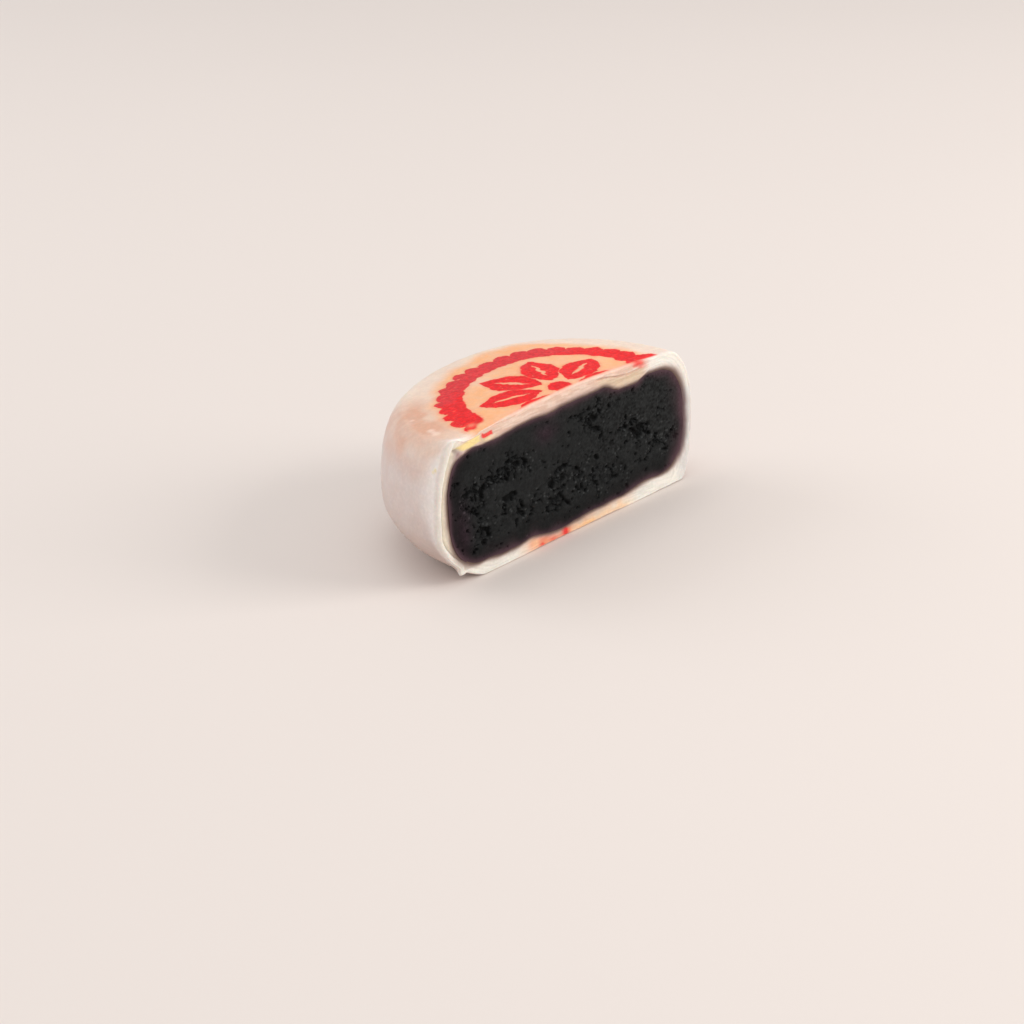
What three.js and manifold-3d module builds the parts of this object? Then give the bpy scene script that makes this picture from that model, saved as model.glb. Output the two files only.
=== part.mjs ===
// Half of a round filled pastry: a pale dough shell baked round a dark sesame paste, cut straight through.
// Millimetres. The origin is on the cake's axis at its base, +Z is up, the cut face looks along -Y,
// and the cut face's right end points along +X.
import * as THREE from 'three';
import { mergeVertices } from 'three/addons/utils/BufferGeometryUtils.js';
import Module from 'manifold-3d';

// Round plan of the whole cake, where the knife went, and how the cut's two ends swell or draw in
const RADIUS = 34.5;
const CUT_AHEAD = 2.9;
const END_SWELL = { left: 0.058, right: -0.035, spread: Math.PI / 4 };
const LEAN_RIGHT = 0.006;
const LEAN_BACK = 0.011;

// Upright outline of the dough, at its left and right ends: the widest line, the flat top and base, and how
// full the curves between them are
const DOUGH = {
  floor: 0,
  rim: 27.8,
  crown: 1.6,
  left: { radius: RADIUS, waist: 10.6, top: 29.1, base: 24.2, shoulder: 2.02, foot: 1.46 },
  right: { radius: RADIUS, waist: 16, top: 27.7, base: 30.8, shoulder: 2.04, foot: 1.8 },
};

// The top's edge droops at the back left
const DROOP = { depth: 1.35, turn: (2 * Math.PI) / 3, spread: Math.PI / 4 };

// The same outline for the paste inside the dough
const PASTE = {
  floor: 2.4,
  rim: 25.2,
  crown: 1.2,
  left: { radius: 31.45, waist: 15.1, top: 27, base: 21.4, shoulder: 2.15, foot: 2.9 },
  right: { radius: 31.9, waist: 14.7, top: 22.5, base: 17.8, shoulder: 2.6, foot: 2.95 },
};
const GAP = 0.3;

// The dough over the paste sags into it at one place by the cut
const SAG = { x: 14.2, halfWidth: 4.9, reach: 8, depth: 1.35 };

// By the cut the base under the paste rises and falls, up to a height where its waves have died out
const WAVES = { reach: 5, low: 5, high: 14 };
const BASE_WAVES = [
  { x: -4.8, halfWidth: 4, height: -0.7 },
  { x: 19, halfWidth: 4.6, height: 1.1 },
];

// Cut face of the paste: set back from the dough's rim, with crumbly hollows
const PASTE_SETBACK = 0.2;
const HOLLOW_DEPTH = 0.7;
const HOLLOW_SIZE = 2.6;
const FACE_STEP = 1.35;
const HOLLOW_SEED = 7;

// Slits where the dough's two layers part on the cut face, by their distance from the paste
const SLIT_WIDTH = 0.3;
const SLIT_DEPTH = 0.8;
const SLITS = [
  { distance: 1.9, x: [6, 20], z: [20, 30] },
  { distance: 0.9, x: [-40, -30], z: [5, 21] },
];

// At the upper left corner of the cut the skin lifts in a lip, and beside it the skin has peeled off
const LIP = { x: -31.2, halfWidth: 2.4, reach: 3, height: 1.1, above: 24 };
const PEEL = { from: -29.4, to: -24.2, depth: 0.45, reach: 0.7 };

// The skin's pinched tip at the foot of the cut
const TIP = { x: -30.5, y: -2.2, z: 3.15, size: [1.5, 1.3, 0.9], slope: -0.93 };

// Facets
const SEGMENTS = 72;
const BASE_STEPS = 3;
const FOOT_STEPS = 7;
const SHOULDER_STEPS = 9;
const FLAT_STEPS = 9;

const COLOURS = { crust: 0xeeddcc, filling: 0x2a2829 };

const wasm = await Module();
wasm.setup();

/** Turns a closed three.js geometry into a solid that can be cut and joined. */
function toSolid(geometry) {
  const bare = geometry.clone();
  bare.deleteAttribute('normal');
  bare.deleteAttribute('uv');
  const merged = mergeVertices(bare, 1e-4);
  const corners = merged.index.array;
  const kept = [];
  for (let i = 0; i < corners.length; i += 3) {
    const [a, b, c] = [corners[i], corners[i + 1], corners[i + 2]];
    if (a !== b && b !== c && c !== a) {
      kept.push(a, b, c);
    }
  }
  const mesh = new wasm.Mesh({
    numProp: 3,
    vertProperties: new Float32Array(merged.attributes.position.array),
    triVerts: new Uint32Array(kept),
  });
  return new wasm.Manifold(mesh);
}

/** Turns a solid back into a three.js geometry with flat facets. */
function toGeometry(solid) {
  const mesh = solid.getMesh();
  const geometry = new THREE.BufferGeometry();
  geometry.setAttribute('position', new THREE.BufferAttribute(new Float32Array(mesh.vertProperties), 3));
  geometry.setIndex(new THREE.BufferAttribute(new Uint32Array(mesh.triVerts), 1));
  geometry.computeVertexNormals();
  return geometry;
}

/** A form grown outwards by some millimetres. */
function grown(form, by) {
  const end = (side) => {
    const { radius, top, base } = side;
    return { ...side, radius: radius + by, top: top + by / 2, base: base + by / 2 };
  };
  const { floor, rim, left, right } = form;
  return { ...form, floor: floor - by, rim: rim + by, left: end(left), right: end(right) };
}

/** The rings of a form from the middle of its base to the middle of its top, each as a stage and a share. */
function ringStages() {
  const rings = [];
  for (let i = 0; i < BASE_STEPS; i += 1) {
    rings.push({ stage: 'base', share: i / BASE_STEPS });
  }
  for (let i = 0; i < FOOT_STEPS; i += 1) {
    rings.push({ stage: 'foot', share: 1 - Math.cos((i / FOOT_STEPS) * (Math.PI / 2)) });
  }
  for (let i = 0; i < SHOULDER_STEPS; i += 1) {
    rings.push({ stage: 'shoulder', share: Math.sin((i / SHOULDER_STEPS) * (Math.PI / 2)) });
  }
  for (let i = 0; i <= FLAT_STEPS; i += 1) {
    rings.push({ stage: 'top', share: 1 - i / FLAT_STEPS });
  }
  return rings;
}

/** Radius and height of a form's outline on one ring, in one direction of the plan. */
function outlinePoint(form, turn, ring) {
  const right = (1 + Math.cos(turn)) / 2;
  const at = (name) => THREE.MathUtils.lerp(form.left[name], form.right[name], right);
  const { stage, share } = ring;
  if (stage === 'base') {
    return [at('base') * share, form.floor];
  }
  if (stage === 'foot') {
    const swell = (1 - (1 - share) ** at('foot')) ** (1 / at('foot'));
    const height = form.floor + (at('waist') - form.floor) * share;
    return [at('base') + (at('radius') - at('base')) * swell, height];
  }
  if (stage === 'shoulder') {
    const swell = (1 - share ** at('shoulder')) ** (1 / at('shoulder'));
    const height = at('waist') + (form.rim - at('waist')) * share;
    return [at('top') + (at('radius') - at('top')) * swell, height];
  }
  return [at('top') * share, form.rim + form.crown * (1 - share ** 2)];
}

/** A smooth hump of height 1 over an angle of the plan. */
function hump(turn, middle, spread) {
  const off = THREE.MathUtils.euclideanModulo(turn - middle + Math.PI, 2 * Math.PI) - Math.PI;
  return Math.exp(-((off / spread) ** 2));
}

/** How far the top of the paste is pressed down at a place in the plan. */
function sagAt(x, y) {
  const across = (x - SAG.x) / SAG.halfWidth;
  const back = (y + CUT_AHEAD) / SAG.reach;
  return SAG.depth * Math.exp(-(across ** 4) - back ** 2);
}

/** How far the base of the paste is pushed up by the cut. */
function waveAt(x, y, z) {
  const bump = ({ x: middle, halfWidth, height }) => height * Math.exp(-(((x - middle) / halfWidth) ** 2));
  const back = (y + CUT_AHEAD) / WAVES.reach;
  const along = BASE_WAVES.map(bump).reduce((sum, height) => sum + height);
  return along * Math.exp(-(back ** 2)) * (1 - THREE.MathUtils.smoothstep(z, WAVES.low, WAVES.high));
}

/** How far the skin is lifted at a place in the plan. */
function lipAt(x, y) {
  const across = (x - LIP.x) / LIP.halfWidth;
  const back = (y + CUT_AHEAD) / LIP.reach;
  return LIP.height * Math.exp(-(across ** 2) - back ** 2);
}

/** The whole round body of a form, as uneven as a hand-made cake. */
function roundBody(form, { sags = false, waves = false, lifts = false } = {}) {
  const rings = ringStages();
  const outline = rings.map((ring) => new THREE.Vector2(...outlinePoint(form, Math.PI / 2, ring)));
  const geometry = new THREE.LatheGeometry(outline, SEGMENTS);
  const position = geometry.attributes.position;
  for (let i = 0; i < position.count; i += 1) {
    const turn = (Math.floor(i / rings.length) % SEGMENTS) * ((2 * Math.PI) / SEGMENTS);
    const ring = rings[i % rings.length];
    const [radius, height] = outlinePoint(form, turn, ring);
    const swell = END_SWELL.left * hump(turn, Math.PI, END_SWELL.spread)
      + END_SWELL.right * hump(turn, 0, END_SWELL.spread);
    const x = radius * (1 + swell) * Math.cos(turn);
    const y = radius * (1 + swell) * Math.sin(turn);
    const share = ring.stage === 'top' ? ring.share ** 2 : height / form.rim;
    const droop = (DROOP.depth / DOUGH.rim) * share * hump(turn, DROOP.turn, DROOP.spread);
    let z = height * (1 + (LEAN_RIGHT * x + LEAN_BACK * y) / DOUGH.rim - droop);
    if (sags && ring.stage === 'top') {
      z -= sagAt(x, y);
    }
    if (waves) {
      z += waveAt(x, y, z);
    }
    if (lifts && z > LIP.above) {
      z += lipAt(x, y);
    }
    position.setXYZ(i, x, y, z);
  }
  return toSolid(geometry);
}

/** Smooth random heights from 0 to 1 on a square grid, always the same ones. */
function softNoise(seed) {
  const corner = (i, j) => {
    const wave = Math.sin(i * 127.1 + j * 311.7 + seed * 74.7) * 43758.5453;
    return wave - Math.floor(wave);
  };
  return (x, z) => {
    const i = Math.floor(x);
    const j = Math.floor(z);
    const u = THREE.MathUtils.smoothstep(x - i, 0, 1);
    const v = THREE.MathUtils.smoothstep(z - j, 0, 1);
    const low = THREE.MathUtils.lerp(corner(i, j), corner(i + 1, j), u);
    const high = THREE.MathUtils.lerp(corner(i, j + 1), corner(i + 1, j + 1), u);
    return THREE.MathUtils.lerp(low, high, v);
  };
}

/** All that lies in front of the knife's plane, as a block with a flat or a crumbly back face. */
function knifeBlock(setback, hollows) {
  const [width, depth, height] = [84, 60, 40];
  const columns = hollows ? Math.round(width / FACE_STEP) : 1;
  const rows = hollows ? Math.round(height / FACE_STEP) : 1;
  const geometry = new THREE.BoxGeometry(width, depth, height, columns, 1, rows);
  const faceY = -CUT_AHEAD + setback;
  geometry.translate(0, faceY - depth / 2, height / 2 - 5);
  if (hollows) {
    const noise = softNoise(HOLLOW_SEED);
    const position = geometry.attributes.position;
    for (let i = 0; i < position.count; i += 1) {
      if (position.getY(i) > faceY - 1) {
        const height01 = noise(position.getX(i) / HOLLOW_SIZE, position.getZ(i) / HOLLOW_SIZE);
        const hollow = Math.max(0, height01 - 0.55) / 0.45;
        position.setY(i, faceY + HOLLOW_DEPTH * hollow ** 0.7);
      }
    }
  }
  return toSolid(geometry);
}

/** A box between two corners. */
function boxBetween(low, high) {
  const size = high.map((value, i) => value - low[i]);
  const geometry = new THREE.BoxGeometry(...size);
  geometry.translate(...high.map((value, i) => (value + low[i]) / 2));
  return toSolid(geometry);
}

/** The thin slit where the dough's layers part along one stretch of the cut. */
function layerSlit({ distance, x, z }) {
  const inner = roundBody(grown(PASTE, distance));
  const outer = roundBody(grown(PASTE, distance + SLIT_WIDTH));
  const stretch = boxBetween([x[0], -CUT_AHEAD - 1, z[0]], [x[1], -CUT_AHEAD + SLIT_DEPTH, z[1]]);
  return outer.subtract(inner).intersect(stretch);
}

/** The strip of skin that has peeled off the edge of the top, beside the lifted lip. */
function peeledStrip() {
  const low = [PEEL.from, -CUT_AHEAD - 1, LIP.above];
  const high = [PEEL.to, -CUT_AHEAD + PEEL.reach, DOUGH.rim + 3];
  return boxBetween(low, high).subtract(roundBody(grown(DOUGH, -PEEL.depth)));
}

/** The pinched tip of skin at the left foot of the cut. */
function pinchedTip() {
  const geometry = new THREE.SphereGeometry(1, 14, 8);
  geometry.scale(...TIP.size);
  geometry.rotateY(TIP.slope);
  geometry.translate(TIP.x, TIP.y, TIP.z);
  return toSolid(geometry);
}

function makeCrust() {
  const hollow = roundBody(grown(PASTE, GAP), { sags: true, waves: true });
  let dough = roundBody(DOUGH, { lifts: true }).add(pinchedTip()).subtract(peeledStrip());
  dough = dough.subtract(knifeBlock(0, false)).subtract(hollow);
  for (const slit of SLITS) {
    dough = dough.subtract(layerSlit(slit));
  }
  return dough;
}

function makeFilling() {
  return roundBody(PASTE, { sags: true, waves: true }).subtract(knifeBlock(PASTE_SETBACK, true));
}

function addPiece(group, name, solid, roughness) {
  const material = new THREE.MeshStandardMaterial({ color: COLOURS[name], roughness, metalness: 0 });
  const mesh = new THREE.Mesh(toGeometry(solid), material);
  mesh.name = name;
  group.add(mesh);
}

const group = new THREE.Group();
addPiece(group, 'crust', makeCrust(), 0.6);
addPiece(group, 'filling', makeFilling(), 0.85);

export default group;
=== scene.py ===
"""Half of a round black sesame pastry with its cut face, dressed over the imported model. Metres."""
import itertools
import math
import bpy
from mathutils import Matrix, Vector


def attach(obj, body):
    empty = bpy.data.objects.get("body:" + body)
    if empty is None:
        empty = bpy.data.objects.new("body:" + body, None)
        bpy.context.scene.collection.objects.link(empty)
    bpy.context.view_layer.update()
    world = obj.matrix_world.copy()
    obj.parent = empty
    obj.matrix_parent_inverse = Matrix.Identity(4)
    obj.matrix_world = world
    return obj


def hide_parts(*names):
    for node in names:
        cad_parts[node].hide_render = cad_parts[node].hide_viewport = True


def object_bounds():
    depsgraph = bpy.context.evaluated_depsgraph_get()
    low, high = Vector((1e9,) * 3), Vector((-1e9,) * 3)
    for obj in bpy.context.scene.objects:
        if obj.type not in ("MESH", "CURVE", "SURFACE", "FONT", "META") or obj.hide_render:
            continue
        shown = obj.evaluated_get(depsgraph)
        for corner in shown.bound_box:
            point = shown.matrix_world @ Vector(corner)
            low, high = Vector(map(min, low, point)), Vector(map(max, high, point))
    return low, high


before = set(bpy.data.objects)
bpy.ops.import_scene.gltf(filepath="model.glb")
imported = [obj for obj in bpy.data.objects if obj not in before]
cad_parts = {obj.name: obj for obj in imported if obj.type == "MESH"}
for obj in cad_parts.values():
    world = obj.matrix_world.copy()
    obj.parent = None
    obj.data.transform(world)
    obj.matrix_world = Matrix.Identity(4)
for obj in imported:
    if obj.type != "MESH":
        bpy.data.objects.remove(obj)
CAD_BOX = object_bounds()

from types import SimpleNamespace

import bpy
import numpy as np
from mathutils import Quaternion, Vector

MM = 0.001

# The dough's and the paste's outlines, as the solids have them: the plan's radius, where the knife went,
# the widest line, the flat top and base at the left and right ends, and how full the curves between are
CUT_AHEAD = 2.9 * MM
RADIUS = 34.5 * MM
END_SWELL_LEFT = 0.058
END_SWELL_RIGHT = -0.035
END_SWELL_SPREAD = math.pi / 4
LEAN_RIGHT = 0.006
LEAN_BACK = 0.011
DROOP_DEPTH = 1.35 * MM
DROOP_TURN = 2 * math.pi / 3
DROOP_SPREAD = math.pi / 4
DOUGH = {
    "floor": 0.0,
    "rim": 27.8 * MM,
    "crown": 1.6 * MM,
    "radius": (RADIUS, RADIUS),
    "waist": (10.6 * MM, 16.0 * MM),
    "top": (29.1 * MM, 27.7 * MM),
    "base": (24.2 * MM, 30.8 * MM),
    "shoulder": (2.02, 2.04),
    "foot": (1.46, 1.8),
}
PASTE = {
    "floor": 2.4 * MM,
    "rim": 25.2 * MM,
    "crown": 1.2 * MM,
    "radius": (31.45 * MM, 31.9 * MM),
    "waist": (15.1 * MM, 14.7 * MM),
    "top": (27.0 * MM, 22.5 * MM),
    "base": (21.4 * MM, 17.8 * MM),
    "shoulder": (2.15, 2.6),
    "foot": (2.9, 2.95),
}
GAP = 0.3 * MM
PASTE_SETBACK = 0.2 * MM
FACE_Y = -CUT_AHEAD + PASTE_SETBACK
FACE_HEART_Z = 14 * MM

# Where the paste's base and its top rise by the cut, or fall: x, half width and height
BASE_BULGES = [
    (-24.0 * MM, 2.2 * MM, 0.4 * MM),
    (-12.8 * MM, 2.4 * MM, 0.5 * MM),
    (-4.8 * MM, 4.0 * MM, -0.7 * MM),
    (9.5 * MM, 2.0 * MM, 0.25 * MM),
    (19.0 * MM, 4.6 * MM, 1.1 * MM),
]
TOP_BULGES = [
    (-26.3 * MM, 1.8 * MM, 0.45 * MM),
    (-20.0 * MM, 1.6 * MM, -0.2 * MM),
    (-6.2 * MM, 2.4 * MM, -0.45 * MM),
    (9.0 * MM, 2.2 * MM, 0.35 * MM),
]
BULGE_REACH = 5 * MM

# The middle of the cut face, from which every outline is seen, and how its distance is found by halving
MIDDLE = np.array((0.0, -CUT_AHEAD, 13.5 * MM))
REACH = 60 * MM
HALVINGS = 26

# The cut rim is the top's above one height and the base's under another
TOP_ABOVE = 20 * MM
BASE_UNDER = 6 * MM

# The dough's fineness: points round the cut, and rows over the outside, the edge, the rim and the inside.
# The outside's rows crowd toward the cut.
COLUMNS = 730
OUTSIDE_ROWS = 90
ROW_CROWDING = 1.25
POLE_DIP = 0.2 * MM
EDGE_ROWS = 7
RIM_ROWS = 29
INSIDE_ROWS = 8

# The paste's fineness: slices along X, points up its cut face, and points round its back. The slices crowd
# toward the two ends.
SLICES = 470
FACE_ROWS = 164
BACK_ROWS = 34
SLICE_CROWDING = 0.35
SLICE_MARGIN = 0.0008

# The dough over the paste sags into it at one place by the cut, steeply at its right end
SAG_FROM = 7.8 * MM
SAG_TO = 20.7 * MM
SAG_END = 3.8 * MM
SAG_REACH = 8 * MM
SAG_DEPTH = 1.25 * MM

# At the upper left corner the skin lifts in a lip, and beside it the skin has peeled off
LIP_X = -31.2 * MM
LIP_WIDTH = 2.4 * MM
LIP_REACH = 3 * MM
LIP_HEIGHT = 1.1 * MM
LIP_ABOVE = 24 * MM
PEEL_X = -27.5 * MM
PEEL_HALF = 3.4 * MM
PEEL_DEPTH = 0.4 * MM
PEEL_REACH = 0.6 * MM

# The skin's pinched tip at the foot of the cut
TIP_X = -31.1 * MM
TIP_Z = 2.4 * MM
TIP_WIDTH = 0.75 * MM
TIP_REACH = 1.4 * MM
TIP_HEIGHT = 1.6 * MM

# Specks of loose dough that stuck to the skin, flaky yellow ones and floury pale ones: x, y, z and half
# width
YELLOW_SPECKS = [
    (-34.4 * MM, -1.5 * MM, 23.5 * MM, 0.3 * MM),
    (-34.5 * MM, -1.1 * MM, 23.1 * MM, 0.25 * MM),
]
PALE_SPECKS = [
    (-28.5 * MM, 5.6 * MM, 27.5 * MM, 0.8 * MM),
    (-28.9 * MM, 3.7 * MM, 27.5 * MM, 0.9 * MM),
    (-28.7 * MM, 4.7 * MM, 27.5 * MM, 0.5 * MM),
    (-26.5 * MM, 12.9 * MM, 27.0 * MM, 0.5 * MM),
    (-28.6 * MM, 12.4 * MM, 26.2 * MM, 0.35 * MM),
]
SPECK_HEIGHT = 0.08 * MM

# Places on the cut by x and z, and on the top by x and y: the middle's two numbers, then half width and
# half height, in millimetres
NOTCH = (-30.6, 26.2, 0.45, 0.35)
YELLOWED = (-22.6, 26.1, 1.7, 0.5)
SMEARED = (-23.7, 25.9, 0.9, 0.4)
# A darker purple spot beside the notch in the cut rim
NEAR_NOTCH = (-29.9, 25.4, 1.0, 0.9)
WORN = (-23.3, 0.4, 0.9, 0.7)
LESS_TOASTED = (-8, 15.5, 4, 3)
BROWN_PATCHES = [(-7.5, 22.5, 3, 2), (-30, 10, 2, 6)]

# The stamped ring and the rosette in it
STAMP_X = -1.73 * MM
STAMP_Y = -1.31 * MM
RING_INNER = 18.0 * MM
RING_OUTER = 22.5 * MM
TOOTH = 1.6 * MM
TEETH = 38
TOOTH_SLANT = 0.008 / MM
HEART_RADIUS = 2.4 * MM
PETALS = 8
PETAL_MIDDLE = 10.0 * MM
PETAL_HALF_LENGTH = 6.4 * MM
PETAL_HALF_WIDTH = 3.7 * MM
VEIN_HALF_WIDTH = 1.5 * MM
WANDER_SIZE = 1.6 * MM
WANDER = 1.3 * MM

# Colours, as they look in even light
SKIN_SIDE = (0.73, 0.63, 0.595)
SKIN_TOP = (0.89, 0.76, 0.65)
# Painted shade low on the side, pinkish as a painted reflection of red from below
SKIN_LOW_SHADED = (0.50, 0.37, 0.32)
SKIN_PINK = (0.70, 0.54, 0.49)
# Painted highlight on the skin along the cut edge
EDGE_HIGHLIGHT = (0.97, 0.92, 0.88)
FLOURY = (0.92, 0.68, 0.57)
TOASTED = (0.95, 0.47, 0.23)
BLUSH = (0.73, 0.43, 0.32)
DOUGH_INSIDE = (0.82, 0.79, 0.72)
DOUGH_PINK = (0.75, 0.53, 0.42)
# Painted shade on the cut rim's right end
DOUGH_SHADED_GREY = (0.70, 0.68, 0.65)
DOUGH_DEEP = (0.58, 0.47, 0.29)
BAKED = (0.93, 0.53, 0.23)
BLEED = (0.92, 0.42, 0.32)
# Rosy red along the base of the cut rim: partly the rim's own tint, partly painted red reflected light
ROSY_AND_REFLECTED_RED = (0.90, 0.20, 0.12)
TAN = (0.48, 0.33, 0.29)
FATTY = (0.88, 0.70, 0.32)
DARK_PURPLE = (0.30, 0.16, 0.17)
# Duller red of the stamp: random duller patches, and toward the back painted sheen
DYE_DULL_AND_SHEEN = (0.78, 0.036, 0.044)
DYE_BRIGHT = (0.90, 0.014, 0.018)
HALO = (0.86, 0.26, 0.18)
STAIN = (0.086, 0.048, 0.035)
STAIN_PURPLE = (0.086, 0.047, 0.058)
PASTE_DARK = (0.0128, 0.0136, 0.0138)
PASTE_MARGIN = (0.026, 0.0150, 0.0205)
PASTE_EDGE = (0.105, 0.058, 0.070)
FLOOR_COLOUR = (0.80, 0.73, 0.692)
FLOOR_DARKER = tuple(part * 0.985 for part in FLOOR_COLOUR)

# The floor's half width, and where its top lies, just under the base
FLOOR_HALF = 2.0
FLOOR_TOP = -0.02 * MM

# The soft lights: name, direction from the cake, distance, size, power and colour; and the light all round
LIGHTS = [
    ("key", (0.55, -0.75, 0.42), 0.9, 0.45, 4.6, (1.0, 0.97, 0.94)),
    ("window", (-0.35, 0.8, 0.45), 1.1, 0.7, 2.6, (0.94, 0.97, 1.0)),
    ("overhead", (0.0, 0.1, 1.0), 1.0, 0.8, 1.8, (1.0, 0.98, 0.95)),
]
WORLD_COLOUR = (1.0, 0.985, 0.97)
WORLD_STRENGTH = 0.66

# The camera, seen from the part's middle, and where that middle lies in a picture of 1024 x 1024
AZIMUTH = math.radians(-44.88)
ELEVATION = math.radians(22.72)
ROLL = math.radians(-3.19)
DISTANCE = 414 * MM
TARGET = Vector((0, 0, 13.92 * MM))
PICTURE = 1024
TARGET_RIGHT = 566.0 - PICTURE / 2
TARGET_UP = PICTURE / 2 - 458.2
SENSOR = 36.0
LENS = 76.56


def mix(low, high, share):
    return low + (high - low) * share


def smooth_step(value, low, high):
    share = np.clip((value - low) / (high - low), 0, 1)
    return share * share * (3 - 2 * share)


def window(value, low, high, soft):
    """1 between two values and 0 beyond them, with soft ends."""
    return smooth_step(value, low - soft, low + soft) * (1 - smooth_step(value, high - soft, high + soft))


def hump(turn, middle, spread):
    """A smooth hump of height 1 over an angle of the plan."""
    off = (turn - middle + math.pi) % (2 * math.pi) - math.pi
    return np.exp(-((off / spread) ** 2))


def bump_at(value, middle, width):
    """A smooth hump of height 1 along a line."""
    return np.exp(-(((value - middle) / width) ** 2))


def place_at(across, up, place):
    """A smooth hump of height 1 at a named place."""
    middle, middle_up, wide, high = (value * MM for value in place)
    return bump_at(across, middle, wide) * bump_at(up, middle_up, high)


def chance(cells, seed):
    """A random number from -1 to 1 for each cell of a grid, always the same one."""
    primes = (73856093, 19349663, 83492791)
    word = np.full(cells[0].shape, seed * 2654435, np.int64)
    for cell, prime in zip(cells, primes):
        word ^= cell * prime
    word = ((word ^ (word >> 13)) * 1274126177) & 0xFFFFFFFF
    word = ((word ^ (word >> 15)) * 668265263) & 0xFFFFFFFF
    return (word ^ (word >> 16)) / 2147483647.5 - 1


def soft_noise(x, y, z, size, seed):
    """Smooth random heights from -1 to 1."""
    spots = [np.asarray(v, float) / size for v in np.broadcast_arrays(x, y, z)]
    cells = [np.floor(v).astype(np.int64) for v in spots]
    eased = [(v - c) ** 3 * ((v - c) * ((v - c) * 6 - 15) + 10) for v, c in zip(spots, cells)]
    total = np.zeros(spots[0].shape)
    for corner in itertools.product((0, 1), repeat=3):
        share = 1.0
        for step, ease in zip(corner, eased):
            share = share * (ease if step else 1 - ease)
        total += share * chance([c + step for c, step in zip(cells, corner)], seed)
    return total


def rough_noise(x, y, z, size, seed, layers=3):
    """Smooth noise with finer and finer noise added."""
    return sum(soft_noise(x, y, z, size / 2**i, seed + i) / 2**i for i in range(layers))


def at_turn(form, name, turn):
    left, right = form[name]
    return mix(left, right, (1 + np.cos(turn)) / 2)


def side_radius(form, turn, height):
    """Radius of a form's side at a height, before the swell at the cut's ends."""
    waist = at_turn(form, "waist", turn)
    base = at_turn(form, "base", turn)
    top = at_turn(form, "top", turn)
    radius = at_turn(form, "radius", turn)
    foot = at_turn(form, "foot", turn)
    shoulder = at_turn(form, "shoulder", turn)
    down = np.clip((waist - height) / (waist - form["floor"]), 0, 1)
    up = np.clip((height - waist) / (form["rim"] - waist), 0, 1)
    below = base + (radius - base) * (1 - down**foot) ** (1 / foot)
    above = top + (radius - top) * (1 - up**shoulder) ** (1 / shoulder)
    return np.where(height < waist, below, above)


def sag_at(x, y):
    """How far the top of the paste is pressed down."""
    across = smooth_step(x, SAG_FROM, SAG_FROM + 5 * MM) * (1 - smooth_step(x, SAG_TO - SAG_END, SAG_TO))
    return SAG_DEPTH * across * np.exp(-(((y + CUT_AHEAD) / SAG_REACH) ** 2))


def lip_at(x, y, z):
    """How far the skin is lifted at the upper left corner of the cut."""
    across = (x - LIP_X) / LIP_WIDTH
    back = (y + CUT_AHEAD) / LIP_REACH
    lifted = LIP_HEIGHT * np.exp(-(across**2) - back**2)
    return lifted * np.clip((z - LIP_ABOVE) / (2 * MM), 0, 1)


def bulge_at(x, y, z):
    """How far the paste's outline is pushed up by the cut."""
    low = sum(tall * bump_at(x, middle, wide) for middle, wide, tall in BASE_BULGES)
    high = sum(tall * bump_at(x, middle, wide) for middle, wide, tall in TOP_BULGES)
    height = low * (1 - smooth_step(z, 5 * MM, 14 * MM)) + high * smooth_step(z, 16 * MM, 22 * MM)
    return height * bump_at(y, -CUT_AHEAD, BULGE_REACH)


def inside(form, x, y, z):
    """Whether points lie in a form, as uneven as the hand-made cake."""
    if form is DOUGH:
        z = z - lip_at(x, y, z)
    else:
        z = z - bulge_at(x, y, z)
    turn = np.arctan2(y, x)
    swell = END_SWELL_LEFT * hump(turn, math.pi, END_SWELL_SPREAD)
    swell = swell + END_SWELL_RIGHT * hump(turn, 0, END_SWELL_SPREAD)
    radius = np.hypot(x, y) / (1 + swell)
    lean = 1 + (LEAN_RIGHT * x + LEAN_BACK * y) / DOUGH["rim"]
    droop = DROOP_DEPTH / DOUGH["rim"] * hump(turn, DROOP_TURN, DROOP_SPREAD)
    height = 2 * z / (lean + np.sqrt(np.maximum(lean**2 - 4 * droop * z / form["rim"], 0)))
    share = radius / at_turn(form, "top", turn)
    cap = (form["rim"] + form["crown"] * (1 - share**2)) * (lean - droop * share**2)
    if form is not DOUGH:
        cap = cap - sag_at(x, y)
    low_enough = np.where(share <= 1, z <= cap, height <= form["rim"])
    return (height >= form["floor"]) & (radius <= side_radius(form, turn, height)) & low_enough


def leave(form, start, direction):
    """Where rays from inside a form leave it, found by halving. Points are rows of x, y, z."""
    near = np.zeros(direction.shape[:-1])
    far = np.full(direction.shape[:-1], REACH)
    for _ in range(HALVINGS):
        middle = (near + far) / 2
        spot = start + direction * middle[..., None]
        held = inside(form, spot[..., 0], spot[..., 1], spot[..., 2])
        near = np.where(held, middle, near)
        far = np.where(held, far, middle)
    return start + direction * near[..., None]


def directions(turn, back):
    """Directions that turn round the cut face and lean back from it."""
    turn, back = np.broadcast_arrays(turn, back)
    return np.stack([np.cos(turn) * np.cos(back), np.sin(back), np.sin(turn) * np.cos(back)], axis=-1)


def even_turns(form, count):
    """The turns about the middle of the cut at which a form's outline has evenly spaced points."""
    dense = np.linspace(-math.pi / 2, 1.5 * math.pi, 6001)
    outline = leave(form, MIDDLE, directions(dense, 0.0))
    lengths = np.linalg.norm(np.diff(outline, axis=0), axis=1)
    travelled = np.concatenate([[0], np.cumsum(lengths)])
    return np.interp(np.linspace(0, travelled[-1], count, endpoint=False), travelled, dense)


def grid_normals(grid):
    """Unit normals of a grid of points whose columns close into loops."""
    across = np.roll(grid, -1, axis=1) - np.roll(grid, 1, axis=1)
    along = np.gradient(grid, axis=0)
    normal = np.cross(across, along)
    return normal / np.maximum(np.linalg.norm(normal, axis=-1, keepdims=True), 1e-12)


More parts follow.
